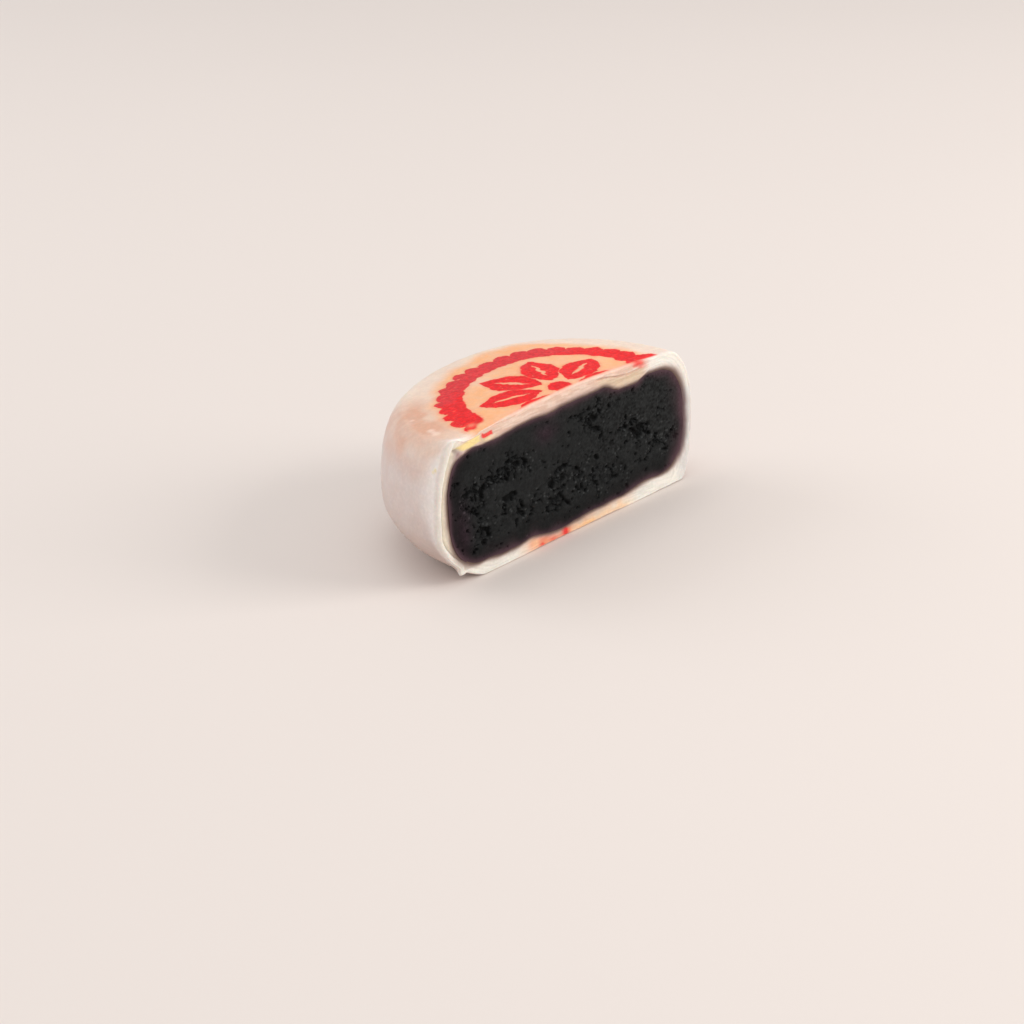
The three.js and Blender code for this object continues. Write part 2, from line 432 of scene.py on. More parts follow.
def closed_mesh(name, rows, first_pole, last_pole, fields):
    """A closed smooth mesh from rows of loops, each row as long as the next, with a point at either end."""
    count = rows.shape[1]
    points = np.concatenate([rows.reshape(-1, 3), [first_pole], [last_pole]])
    ids = np.arange(rows.shape[0] * count).reshape(rows.shape[:2])
    after = np.roll(ids, -1, axis=1)
    quads = np.stack([ids[:-1], after[:-1], after[1:], ids[1:]], axis=-1).reshape(-1, 4)
    start, end = len(points) - 2, len(points) - 1
    caps = [(start, int(b), int(a)) for a, b in zip(ids[0], after[0])]
    caps += [(end, int(a), int(b)) for a, b in zip(ids[-1], after[-1])]
    mesh = bpy.data.meshes.new(name)
    mesh.from_pydata(points.tolist(), [], quads.tolist() + caps)
    mesh.polygons.foreach_set("use_smooth", np.ones(len(mesh.polygons), bool))
    for field, values in fields.items():
        data = np.concatenate([values.reshape(-1), [values[0].mean(), values[-1].mean()]])
        attribute = mesh.attributes.new(field, "FLOAT", "POINT")
        attribute.data.foreach_set("value", data.astype(np.float32))
    mesh.update()
    made = bpy.data.objects.new(name, mesh)
    bpy.context.scene.collection.objects.link(made)
    return made


def edge_radius(x, z):
    """How round the dough's cut edge is: softest at the left, sharp where the skin has chipped off."""
    top = smooth_step(z, 22 * MM, 26 * MM) * smooth_step(x, -21 * MM, -18 * MM)
    right = smooth_step(x, 20 * MM, 30 * MM)
    bottom = 1 - smooth_step(z, 2 * MM, 5 * MM)
    left = (1 - smooth_step(x, -33 * MM, -30.5 * MM)) * smooth_step(z, 5 * MM, 9 * MM)
    others = np.maximum(top, np.maximum(0.7 * right, 0.6 * bottom))
    return 0.2 * MM + 0.38 * MM * others * (1 - left) + 0.9 * MM * left


def peel_at(x, y, z):
    """1 where the skin has chipped off the top's edge beside the lip."""
    along = (x - PEEL_X) / PEEL_HALF
    ragged = 0.1 * MM * rough_noise(x, 0, 0, 1.6 * MM, 31, 2)
    reach = PEEL_REACH * (1 - along**2) + ragged
    bare = smooth_step(reach - (y + CUT_AHEAD), -0.1 * MM, 0.3 * MM)
    return bare * (np.abs(along) < 1.2) * (z > TOP_ABOVE)


def tip_at(x, y, z):
    """How far the skin is pinched out at the foot of the cut."""
    apart = ((x - TIP_X) ** 2 + (z - TIP_Z) ** 2) / TIP_WIDTH**2
    return TIP_HEIGHT * np.exp(-apart - ((y + CUT_AHEAD) / TIP_REACH) ** 2)


def speck_at(x, y, z, specks):
    """1 in the middle of each speck of loose dough."""
    spots = []
    for speck_x, speck_y, speck_z, wide in specks:
        apart = (x - speck_x) ** 2 + (y - speck_y) ** 2 + (z - speck_z) ** 2
        spots.append(np.exp(-apart / wide**2))
    return np.maximum.reduce(spots)


def skin_relief(x, y, z):
    """Height of the skin's own unevenness and of the specks on it."""
    broad = 0.12 * MM * soft_noise(x, y, z, 9 * MM, 3)
    middling = 0.05 * MM * soft_noise(x, y, z, 2.6 * MM, 5)
    fine = 0.02 * MM * rough_noise(x, y, z, 0.9 * MM, 8, 2)
    specks = SPECK_HEIGHT * speck_at(x, y, z, YELLOW_SPECKS + PALE_SPECKS)
    return broad + middling + fine - 0.06 * MM + specks


def press_to_box(points):
    """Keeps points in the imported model's box."""
    low, high = np.array(CAD_BOX[0]), np.array(CAD_BOX[1])
    return np.clip(points, low, high)


def split_line(x):
    """Height of the line where the top's two layers of dough part."""
    falling = mix(28.3 * MM, 27.0 * MM, smooth_step(x, 6.5 * MM, 15 * MM))
    return falling + 0.4 * MM * smooth_step(x, 17 * MM, 20 * MM)


def split_at(x, z):
    """1 along the thin dark line where the top's two layers of dough part."""
    along = window(x, 6.5 * MM, 18.2 * MM, 1.2 * MM)
    return along * bump_at(z, split_line(x), 0.14 * MM) * (z > TOP_ABOVE)


def left_end(x):
    """1 on the cut rim's left end."""
    return 1 - smooth_step(x, -31.5 * MM, -29 * MM)


def foot_at(x, z):
    """1 by the left foot of the cut."""
    return (1 - smooth_step(x, -17 * MM, -11 * MM)) * (1 - smooth_step(z, 4 * MM, 9 * MM))


def rim_recess(x, z, wall, width):
    """How far the cut rim of the dough lies behind the knife's plane."""
    depth = wall * width
    left = left_end(x)
    step = left * smooth_step(depth, 1.0 * MM, 1.15 * MM) * 0.2 * MM
    pull = 0.03 * MM * rough_noise(x, depth * 3, z, 2.2 * MM, 12)
    grain = 0.02 * MM * soft_noise(x, depth, z, 0.45 * MM, 15)
    notch = 0.7 * MM * place_at(x, z, NOTCH)
    split = 0.55 * MM * split_at(x, z)
    seam = left * bump_at(depth, 1.35 * MM, 0.12 * MM) * window(z, 5 * MM, 21 * MM, 1.5 * MM)
    inward = 0.12 * MM * smooth_step(wall, 0.55, 1.0)
    return np.maximum(0.05 * MM + step + pull + grain + split + 0.2 * MM * seam + inward + notch, 0)


def paste_edge(smooth, outward):
    """The uneven line where dough and paste meet on the cut face, from the paste's smooth outline."""
    wander = 0.11 * MM * rough_noise(smooth[:, 0], 0, smooth[:, 2], 3.6 * MM, 21) - 0.2 * MM
    return smooth + outward * wander[:, None]


def outside_rows(turns, rim, radius):
    """Rows over the dough's outside, from its back to where the soft edge of the cut starts."""
    first = np.arctan2(radius, np.linalg.norm(rim - MIDDLE, axis=1))
    share = (np.arange(OUTSIDE_ROWS) / OUTSIDE_ROWS) ** ROW_CROWDING
    back = first[None] + (math.pi / 2 - first[None]) * share[::-1, None]
    outside = leave(DOUGH, MIDDLE, directions(turns[None], back))
    x, y, z = outside[..., 0], outside[..., 1], outside[..., 2]
    lift = skin_relief(x, y, z) - PEEL_DEPTH * peel_at(x, y, z) + tip_at(x, y, z)
    return outside + grid_normals(outside) * lift[..., None]


def edge_rows(base, inward, radius):
    """Rows round the soft edge of the cut, how far in they are, and how far round from 0 to 1."""
    bend = np.linspace(0, math.pi / 2, EDGE_ROWS + 2)[1:, None]
    across = radius[None] * (1 - np.cos(bend))
    edge = base[None] + inward[None] * across[..., None]
    edge[..., 1] = -CUT_AHEAD + radius[None] * (1 - np.sin(bend))
    return edge, across, bend / (math.pi / 2)


def rim_rows(base, inward, radius, width):
    """Rows over the cut rim from its edge to the paste, and how far in they are."""
    wall = np.linspace(0, 1, RIM_ROWS + 1)[1:, None]
    across = radius[None] + (width - radius)[None] * wall
    band = base[None] + inward[None] * across[..., None]
    recess = rim_recess(band[..., 0], band[..., 2], across / width, width[None])
    band[..., 1] = -CUT_AHEAD + recess * smooth_step(wall, 0, 0.08)
    return band, across


def hollow_rows(turns):
    """Rows over the wall of the hollow, which stays clear of the paste's back."""
    back = np.linspace(0.02, math.pi / 2, INSIDE_ROWS, endpoint=False)[:, None]
    hollow = leave(PASTE, MIDDLE, directions(turns[None], back))
    return hollow + GAP * np.array([0, 1, 0]) * smooth_step(back, 0.1, 0.4)[..., None]


def crust_rows():
    """Rows over the dough: outside from the back, edge, cut rim, and the hollow's wall.

    With them come each point's share of the way through the wall and round the edge, and the wall's width.
    """
    turns = even_turns(DOUGH, COLUMNS)
    rim = leave(DOUGH, MIDDLE, directions(turns, 0.0))
    inner = leave(PASTE, MIDDLE, directions(turns, 0.0))
    inner = paste_edge(inner, (rim - inner) / np.linalg.norm(rim - inner, axis=1)[:, None])
    radius = edge_radius(rim[:, 0], rim[:, 2])
    outside = outside_rows(turns, rim, radius)
    outward = outside[-1] - inner
    width = np.linalg.norm(outward[:, ::2], axis=1)
    inward = -outward / width[:, None]
    inward[:, 1] = 0
    base = outside[-1] * [1, 0, 1]
    edge, edge_across, bent = edge_rows(base, inward, radius)
    band, band_across = rim_rows(base, inward, radius, width)
    hollow = hollow_rows(turns)
    none, full = np.zeros(outside.shape[:2]), np.ones(hollow.shape[:2])
    walls = np.concatenate([none, edge_across / width, band_across / width, full])
    cut = np.concatenate([none, np.repeat(bent, COLUMNS, axis=1), np.ones(band.shape[:2]), full])
    return press_to_box(np.concatenate([outside, edge, band, hollow])), walls, cut, width


def toast_at(x, y, z):
    """How toasted the skin is: the middles of the top and of the base lay on the hot plate."""
    ragged = 0.9 * MM * rough_noise(x, y, 0, 6 * MM, 41)
    turn = np.arctan2(y - STAMP_Y, x - STAMP_X)
    reach = 4.2 * MM * hump(turn, math.radians(70), math.radians(34))
    apart = np.hypot(x - STAMP_X, y - STAMP_Y) + ragged - reach
    margin = 0.14 * (1 - smooth_step(apart, 26 * MM, 31 * MM))
    top = np.maximum(1 - smooth_step(apart, 22.6 * MM, 26.4 * MM), margin)
    top = top * (z > 22 * MM) * (1 - 0.4 * place_at(x, y, LESS_TOASTED))
    base = (1 - smooth_step(apart, 18 * MM, 25 * MM)) * (z < 3 * MM)
    return top + base


def blush_at(x, y, z):
    """Where the skin is peach: on the shoulder at the left, strongest beside the ring's end."""
    patchy = 0.8 + 0.4 * rough_noise(x, y, z, 3.5 * MM, 47)
    radius, turn = np.hypot(x, y), np.arctan2(y, x)
    spot = 0.9 * bump_at(radius, 29.2 * MM, 3.6 * MM) * smooth_step(z, 22 * MM, 26.5 * MM)
    spot = spot * hump(turn, math.radians(160), math.radians(17))
    by_ring = 0.45 * bump_at(radius, 27.0 * MM, 2.8 * MM) * smooth_step(z, 22 * MM, 25 * MM)
    spot = spot + by_ring * hump(turn, math.radians(148), math.radians(16))
    shoulder = 0.5 * window(z, 21 * MM, 27.5 * MM, 2.5 * MM) * smooth_step(-x, 15 * MM, 26 * MM)
    return np.clip((spot + shoulder) * patchy, 0, 1)


def skin_fields(at):
    """Where the skin is lighter, darker and pinker low down in painted shade with a painted reflection,
    toasted, peach, white along the cut with a painted highlight, or floury.
    """
    x, y, z = at.x, at.y, at.z
    # Painted highlight: a white band on the skin along the cut at the left, narrower at the foot and the
    # top, and a thin one at the top right, where the toast is also left off
    band = mix(0.9 * MM, 4.0 * MM, smooth_step(z, 8 * MM, 19 * MM))
    band = band * (1 - 0.72 * smooth_step(z, 24 * MM, 27 * MM))
    highlight_left = np.exp(-((y + CUT_AHEAD) / band) ** 2) * (1 - smooth_step(x, -30 * MM, -24 * MM))
    highlight_top = 0.6 * bump_at(y, -CUT_AHEAD, 0.8 * MM) * at.top * smooth_step(x, 17 * MM, 22 * MM)
    return {
        "upper": smooth_step(z, 22 * MM, 27 * MM),
        # Painted shade low on the side, with a painted pinkish reflection
        "low": (1 - smooth_step(z, 4 * MM, 17 * MM)) * at.skin,
        "toast": toast_at(x, y, z) * at.skin * (1 - highlight_top),
        "blush": blush_at(x, y, z) * at.skin,
        "pale": np.clip(highlight_left + highlight_top, 0, 1) * at.skin,
        "floury": 0.85 * smooth_step(speck_at(x, y, z, PALE_SPECKS), 0.1, 0.9),
    }


def yellow_at(x, z):
    """Where the cut rim is a fatty yellow: where the skin has chipped off, and a little beside it."""
    high = 27.35 * MM + 0.12 * (x + 26 * MM)
    low = 25.7 * MM + 1.0 * MM * (1 - smooth_step(x, -30.8 * MM, -28.4 * MM))
    low = low + 0.5 * MM * smooth_step(x, -27 * MM, -24.4 * MM)
    chipped = window(x, -30.4 * MM, -24.4 * MM, 0.5 * MM) * window(z, low, high, 0.17 * MM)
    return chipped + 0.5 * place_at(x, z, YELLOWED)


def layer_fields(at):
    """Where the cut dough's layers are deeper, pinker, yellow, or greyer at the right end, which is painted
    shade.
    """
    x, z = at.x, at.z
    inner_layer = 0.5 * smooth_step(at.depth, 1.2 * MM, 1.6 * MM)
    left_layer = at.left * np.maximum(inner_layer, np.exp(-at.to_paste / (0.5 * MM)))
    split = split_line(x)
    under_split = 1 - smooth_step(z, split - 0.5 * MM, split + 0.1 * MM)
    under_split = under_split * window(x, 7 * MM, 19.5 * MM, 1 * MM) * at.top
    pink = (1 - smooth_step(x, 19 * MM, 22 * MM)) * smooth_step(x, -31 * MM, -27 * MM)
    yellow = yellow_at(x, z) * at.top * at.cut
    return {
        "deep": np.maximum(left_layer, 0.5 * under_split) * at.cut,
        "pink": at.top * pink * at.cut,
        # Painted shade greys the rim's right end; the same mask turns the oil stain purple there
        "right_shade_and_purple": smooth_step(x, 27 * MM, 30 * MM) * (1 - smooth_step(z, 17 * MM, 22 * MM)) * at.cut,
        "fatty": np.maximum(yellow, speck_at(x, at.y, z, YELLOW_SPECKS)),
        "flake": rough_noise((x + z) / 6, at.depth, 0, 0.4 * MM, 57) * at.cut,
    }


def baked_at(at):
    """Where the base's rim is baked orange, at the right mostly along its lowest edge."""
    baked = window(at.x, -14.5 * MM, 14 * MM, 3 * MM) * at.under
    baked = baked * (0.75 + 0.25 * soft_noise(at.x, 0, at.z, 1.6 * MM, 51))
    lowest = 1 - smooth_step(at.z, 0.4 * MM, 1.4 * MM)
    return baked * mix(1.0, mix(0.55, 0.95, lowest), smooth_step(at.x, -1 * MM, 4 * MM))


def soaked_fields(at, baked):
    """Where sesame oil from the paste has soaked into the rim, in a dark line and a tan one beyond it."""
    x, z = at.x, at.z
    right = smooth_step(x, 26 * MM, 30 * MM) * smooth_step(z, 5 * MM, 9 * MM)
    right = right * (1 - smooth_step(z, 19 * MM, 23 * MM))
    foot = foot_at(x, z)
    beyond = smooth_step(x, 12 * MM, 20 * MM) * (1 - right)
    stain_reach = 1.0 * MM + 0.35 * MM * at.left + 0.9 * MM * beyond + 0.7 * MM * foot
    stain_reach = stain_reach + 1.1 * MM * right
    sagging = at.top * window(x, 7 * MM, 18 * MM, 1.5 * MM)
    shorter = 0.1 * MM * at.left + 0.12 * MM * at.top * window(x, -22 * MM, -8 * MM, 2 * MM)
    tan_reach = 1.2 * MM - 0.2 * MM * baked - 0.55 * MM * sagging - 0.3 * MM * right - shorter
    tan_reach = tan_reach + 0.35 * MM * np.maximum(beyond, foot)
    tan = 0.95 * np.exp(-((at.to_paste / tan_reach) ** 2))
    return {
        "tan": np.maximum(tan, 0.6 * place_at(x, z, SMEARED)) * at.cut,
        "stain": 0.92 * (1 - smooth_step(at.to_paste, 0, stain_reach)) * at.cut,
        # A darker purple spot beside the notch
        "dark_purple_spot": 0.8 * place_at(x, z, NEAR_NOTCH) * at.cut,
    }


def printed_at(x, y):
    """1 where the stamp has printed: its ring stops short of the cut at the left, and is worn there."""
    ring_end = 0.35 * (x + 23 * MM) + 0.6 * MM * soft_noise(x, 0, 0, 1.4 * MM, 67)
    printed = np.maximum(smooth_step(y - ring_end, -1.0 * MM, 0), smooth_step(x, -18.6 * MM, -18 * MM))
    return printed * (1 - 0.5 * place_at(x, y, WORN)) * smooth_step(y, -2.8 * MM, -2.0 * MM)


def dabs_at(at):
    """Where single dabs of dye got onto the rim and over its edge."""
    x, z = at.x, at.z
    ragged = 0.25 * MM * soft_noise(x, 0, z, 0.8 * MM, 63)
    dab = window(x + ragged, -24.1 * MM, -21.2 * MM, 0.4 * MM)
    dab = dab * window(z + ragged, 26.45 * MM, 27.4 * MM, 0.15 * MM)
    tall = bump_at(x + ragged, -3.9 * MM, 1.0 * MM) * (1 - smooth_step(z + ragged, 1.4 * MM, 2.1 * MM))
    short = bump_at(x, -10.2 * MM, 0.9 * MM) * (1 - smooth_step(z + ragged, 0.5 * MM, 0.95 * MM))
    blot = smooth_step(z + 0.35 * x + ragged, 33.4 * MM, 34.4 * MM)
    blot = 0.85 * bump_at(x + ragged, 18.0 * MM, 1.9 * MM) * blot
    blot = blot * at.top * (1 - smooth_step(at.y, -2.4 * MM, -1.6 * MM))
    return np.maximum(np.maximum(dab, tall + 0.7 * short) * at.cut, blot)


def dye_fields(at):
    """Where the red dye is printed, has bled under the stamp, and got in dabs."""
    x, y, z = at.x, at.y, at.z
    under_stamp = at.top * smooth_step(x, -24 * MM, -20 * MM) * (1 - smooth_step(x, 17 * MM, 21 * MM))
    down_rim, over_top = np.exp(-at.depth / (0.45 * MM)), np.exp(-(y + CUT_AHEAD) / (1.2 * MM))
    bleed = under_stamp * np.where(at.cut > 0, down_rim, over_top)
    bleed = bleed * (0.7 + 0.5 * soft_noise(x, y, z, 2.2 * MM, 59))
    return {
        "printed": printed_at(x, y) * at.skin,
        "bleed": np.clip(bleed, 0, 1),
        "dab": dabs_at(at),
    }


def crust_fields(rows, walls, cut, width):
    """Where the dough's colours go, for each of its points."""
    x, z = rows[..., 0], rows[..., 2]
    depth = walls * width[None]
    at = SimpleNamespace(x=x, y=rows[..., 1], z=z, cut=cut, skin=1 - cut, depth=depth)
    at.to_paste = width[None] - depth
    at.top = z > TOP_ABOVE
    at.under = z < BASE_UNDER
    at.left = left_end(x)
    baked = baked_at(at)
    # Rosy red along the base of the rim: partly its own tint, partly painted red reflected light
    rosy_and_reflected_red = bump_at(x, -8.0 * MM, 5.0 * MM) * at.under * (0.78 + 0.4 * soft_noise(x, 0, z, 1.5 * MM, 53))
    fields = {"cut": cut, "baked": baked * cut, "rosy_and_reflected_red": rosy_and_reflected_red * cut}
    return {**fields, **skin_fields(at), **layer_fields(at), **soaked_fields(at, baked), **dye_fields(at)}


def make_crust():
    """The dough: its skin, the cut rim, and the wall of the hollow for the paste."""
    rows, walls, cut, width = crust_rows()
    straight_back = np.array([[0.0, 1.0, 0.0]])
    back_pole = leave(DOUGH, MIDDLE, straight_back)[0] - [0, POLE_DIP, 0]
    hollow_pole = leave(PASTE, MIDDLE, straight_back)[0] + [0, GAP, 0]
    return closed_mesh("crust_skin", rows, back_pole, hollow_pole, crust_fields(rows, walls, cut, width))


# The larger hollows of the cut paste: x, z, length and width in millimetres, and slant in radians
HOLLOWS = [
    (-26.4, 13.1, 1.6, 1.4, -0.7),
    (-24.4, 16.8, 1.6, 1.0, 0.5),
    (-28.4, 16.9, 2.6, 0.6, 0.1),
    (-17.6, 12.8, 2.4, 0.7, 0.1),
    (-16.0, 10.0, 2.2, 0.7, -1.0),
    (-13.8, 8.0, 2.2, 0.5, -0.5),
    (-12.7, 18.0, 2.2, 0.8, -1.0),
    (-15.8, 18.9, 1.8, 0.5, -0.3),
    (-24.0, 7.9, 1.8, 0.6, -1.1),
    (-3.6, 14.0, 3.6, 0.6, 0.05),
    (-0.2, 12.9, 2.4, 0.6, -0.6),
    (-6.9, 11.3, 1.5, 0.9, -0.4),
    (-2.6, 6.2, 2.6, 0.5, -0.8),
    (1.7, 22.7, 1.6, 0.7, -0.2),
    (5.2, 21.3, 1.8, 0.6, -0.8),
    (6.3, 18.4, 2.6, 1.0, -0.8),
    (14.0, 17.4, 1.9, 0.7, 1.4),
    (16.2, 14.6, 2.2, 0.8, -0.7),
    (18.4, 15.2, 1.6, 0.8, -0.5),
    (20.2, 13.2, 2.4, 0.6, -0.5),
    (5.6, 12.8, 1.9, 0.7, -1.1),
]
HOLLOW_DEPTH = 0.6 * MM

# Crumbs are a little longer than high, and come in two sizes
CRUMB_STRETCH = 1.25
LUMP_SIZE = 1.0 * MM
CRUMB_SIZE = 0.42 * MM

# Where the paste crumbled: x, z, half width and half height, in millimetres
CRUMBLY_PLACES = [
    (-15.0, 18.5, 6.5, 3.4),
    (-26.0, 15.5, 6.0, 4.5),
    (-16.5, 10.5, 4.5, 4.5),
    (-24.5, 7.5, 4.0, 2.6),
    (-3.0, 13.0, 6.0, 2.4),
    (5.0, 20.0, 4.5, 4.0),
    (17.0, 15.0, 5.5, 3.2),
    (8.0, 8.5, 7.0, 2.4),
    (24.0, 10.0, 5.0, 3.0),
    (-6.0, 8.0, 5.0, 2.5),
]


def crumbly_at(x, z):
    """From 0 where the knife smeared the paste smooth to 1 where it crumbled."""
    total = sum(place_at(x, z, place) for place in CRUMBLY_PLACES)
    return smooth_step(total + 0.45 * rough_noise(x, 0, z, 3.5 * MM, 61), 0.25, 1.05)


def crumbs(x, z, size, seed):
    """Packed round crumbs: 0 at a crumb's middle and 1 in the creases, and each crumb's own tone."""
    column, row = x / size, z / size
    base = [np.floor(column).astype(np.int64), np.floor(row).astype(np.int64)]
    nearest = np.full(x.shape, 9.0)
    tone = np.zeros(x.shape)
    for i, j in itertools.product((-1, 0, 1), repeat=2):
        cell = [base[0] + i, base[1] + j, np.zeros_like(base[0])]
        middle_x = cell[0] + 0.5 + 0.42 * chance(cell, seed)
        middle_z = cell[1] + 0.5 + 0.42 * chance(cell, seed + 1)
        apart = np.hypot(column - middle_x, row - middle_z)
        tone = np.where(apart < nearest, chance(cell, seed + 2), tone)
        nearest = np.minimum(nearest, apart)
    return np.minimum(nearest / 0.85, 1) ** 2, tone


def hollows_at(x, z):
    """1 in the middle of each larger hollow."""
    total = np.zeros(x.shape)
    for at_x, at_z, length, width, slant in HOLLOWS:
        dx, dz = x - at_x * MM, z - at_z * MM
        along = (dx * math.cos(slant) + dz * math.sin(slant)) / (length / 2 * MM)
        across = (dz * math.cos(slant) - dx * math.sin(slant)) / (width / 2 * MM)
        total = np.maximum(total, np.exp(-0.35 * (along**2 + across**2)))
    return total


def pits_at(x, z, crumbly):
    """1 in the paste's pits: the larger hollows, many small pits, and cracks where it crumbled."""
    wide = x / CRUMB_STRETCH
    torn = rough_noise(wide, 0, z, 1.1 * MM, 71, 4)
    small = rough_noise(wide, 0, z, 0.9 * MM, 91, 4) - mix(0.9, 0.05, crumbly)
    crack = np.abs(soft_noise(wide, 0, z, 3.0 * MM, 93) + 0.4 * rough_noise(wide, 0, z, 1.0 * MM, 97))
    crack = (1 - smooth_step(crack, 0, 0.14)) * smooth_step(crumbly + 0.3 * torn, 0.35, 0.7)
    large = smooth_step(hollows_at(x, z) + 0.6 * torn, 0.5, 0.9)
    return np.maximum(np.maximum(large, 0.9 * smooth_step(small, 0.3, 0.6)), 0.8 * crack)


def face_relief(x, z, crumbly):
    """How far the paste's cut face lies behind its plane, and how light each point of it looks: each crumb's
    own random tone, painted shade in the creases between crumbs and in the pits, and painted glints.
    """
    pit = pits_at(x, z, crumbly)
    lumps, lump_tone = crumbs(x / CRUMB_STRETCH, z, LUMP_SIZE, 81)
    fine, fine_tone = crumbs(x / CRUMB_STRETCH, z, CRUMB_SIZE, 85)
    relief = mix(0.03 * MM, 0.22 * MM, crumbly) * lumps + mix(0.02 * MM, 0.12 * MM, crumbly) * fine
    relief = relief + 0.05 * MM * (1 + soft_noise(x, 0, z, 2.4 * MM, 87)) + HOLLOW_DEPTH * pit
    lively = smooth_step(x, -2 * MM, 8 * MM) * smooth_step(z, 9 * MM, 14 * MM)
    rough = mix(0.5, 1.0, crumbly) * (1.1 + 0.55 * lively)
    # Painted shade darkens the creases between crumbs; lump_tone and fine_tone are each crumb's own random
    # tone
    shade = 1.15 + rough * (0.25 * lump_tone + 0.32 * fine_tone - 0.35 * fine**2 - 0.25 * lumps**2)
    shade = shade + (0.18 + 0.4 * lively) * soft_noise(x, 0, z, 0.36 * MM, 99)
    # Painted glints on some crumbs, and painted shade in the pits
    glint = (fine_tone > 0.86) * (1 - smooth_step(fine, 0.1, 0.5)) * smooth_step(crumbly, 0.1, 0.4)
    return relief, np.clip((shade + 2.0 * glint) * (1 - 0.75 * pit), 0.2, 3.0)


def dimmed(x, z, margin):
    """The share of its brightness that the paste keeps, less a little way in from its left edge and base."""
    left = 0.42 * (1 - smooth_step(x, -28 * MM, -25 * MM))
    low = 0.3 * (1 - smooth_step(z, 6 * MM, 11 * MM))
    return 1 - np.maximum(left, low) * (1 - smooth_step(margin, 2.2 * MM, 4.6 * MM))


def brown_at(x, z, margin):
    """Where the paste is a little brown and purple: along its edge and in two smeared patches."""
    patches = sum(place_at(x, z, place) for place in BROWN_PATCHES)
    reach = mix(1.5 * MM, 2.0 * MM, smooth_step(x, 18 * MM, 27 * MM) * smooth_step(z, 8 * MM, 14 * MM))
    return np.clip(patches + 1 - smooth_step(margin, 0.3 * MM, reach), 0, 1)


def soaked_at(x, z, margin):
    """How much the paste's colour fades toward the dough's along its edge."""
    reach = mix(0.5 * MM, 1.05 * MM, np.maximum(smooth_step(x, 23 * MM, 28 * MM), 0.15 * foot_at(x, z)))
    return np.exp(-margin / (reach * (1 + 0.5 * soft_noise(x, 0, z, 3 * MM, 89))))


def back_loops():
    """Where the paste ends on the cut face, and for slices along X its loops round the back."""
    sideways = np.array([[-1.0, 0, 0], [1.0, 0, 0]])
    ends = leave(PASTE, np.array([0, FACE_Y, FACE_HEART_Z]), sideways)[:, 0]
    share = np.linspace(-1, 1, SLICES)[1:-1]
    eased = mix(share, np.sin(share * math.pi / 2), SLICE_CROWDING)
    x = mix(ends[0], ends[1], np.clip((eased + 1) / 2, SLICE_MARGIN, 1 - SLICE_MARGIN))
    heart = np.stack([x, np.full_like(x, FACE_Y), np.full_like(x, FACE_HEART_Z)], axis=-1)
    turn = np.linspace(0, math.pi, BACK_ROWS)
    around = np.stack([np.zeros_like(turn), np.sin(turn), np.cos(turn)], axis=-1)
    around = np.broadcast_to(around[None], (len(x), BACK_ROWS, 3))
    return ends, leave(PASTE, heart[:, None], around)


def face_margin(face, ends, back):
    """How far points of the cut face are from the paste's edge."""
    low, high = back[:, -1:, 2], back[:, :1, 2]
    slices = back[:, 0, 0]
    from_low = (face[..., 2] - low) / np.hypot(1, np.gradient(low[:, 0], slices))[:, None]
    from_high = (high - face[..., 2]) / np.hypot(1, np.gradient(high[:, 0], slices))[:, None]
    from_end = np.minimum(face[..., 0] - ends[0], ends[1] - face[..., 0])
    return np.minimum(np.minimum(from_low, from_high), from_end)


def make_filling():
    """The paste: slices along X, each a loop up the cut face and round the back."""
    ends, back = back_loops()
    up = np.linspace(0, 1, FACE_ROWS + 1)[1:-1][None, :, None]
    face = back[:, -1:] + (back[:, :1] - back[:, -1:]) * up
    x, z = face[..., 0], face[..., 2]
    recess, shade = face_relief(x, z, crumbly_at(x, z))
    margin = face_margin(face, ends, back)
    face[..., 1] = FACE_Y + recess * smooth_step(margin, 0.3 * MM, 0.9 * MM)
    shown = {
        # The shade attribute: painted shade in creases and pits, and painted glints
        "shade": shade * dimmed(x, z, margin),
        "soaked": soaked_at(x, z, margin),
        "brown": brown_at(x, z, margin),
    }
    behind = np.ones(back.shape[:2])
    fields = {name: np.concatenate([behind, values], axis=1) for name, values in shown.items()}
    rows = press_to_box(np.concatenate([back, face], axis=1))
    return closed_mesh("sesame_filling", rows, rows[0].mean(axis=0), rows[-1].mean(axis=0), fields)


def add(tree, kind, inputs=None, **settings):
    """Adds a shader node. Each input is a plain value or another node's socket."""
    made = tree.nodes.new("ShaderNode" + kind)
    for name, value in settings.items():
        setattr(made, name, value)
    for name, value in (inputs or {}).items():
        if isinstance(value, bpy.types.NodeSocket):
            tree.links.new(value, made.inputs[name])
        else:
            made.inputs[name].default_value = value
    return made


def calc(tree, operation, *values):
    """The result of a math node."""
    return add(tree, "Math", dict(enumerate(values)), operation=operation).outputs[0]


def times(tree, first, second):
    return calc(tree, "MULTIPLY", first, second)


def vector(tree, operation, first, second):
    return add(tree, "VectorMath", {0: first, 1: second}, operation=operation).outputs[0]


def scaled(tree, value, share):
    """A vector or a colour times a number."""
    return add(tree, "VectorMath", {0: value, "Scale": share}, operation="SCALE").outputs[0]


def part_of(tree, place, axis):
    """One of a vector's three numbers."""
    return add(tree, "SeparateXYZ", {0: place}).outputs[axis]


def field(tree, name):
    return add(tree, "Attribute", attribute_name=name).outputs["Fac"]


def ramp(tree, value, low, high, to_low=0.0, to_high=1.0):
    """A smooth ramp from one value to another."""
    inputs = {"Value": value, "From Min": low, "From Max": high, "To Min": to_low, "To Max": to_high}
    return add(tree, "MapRange", inputs, interpolation_type="SMOOTHSTEP").outputs["Result"]


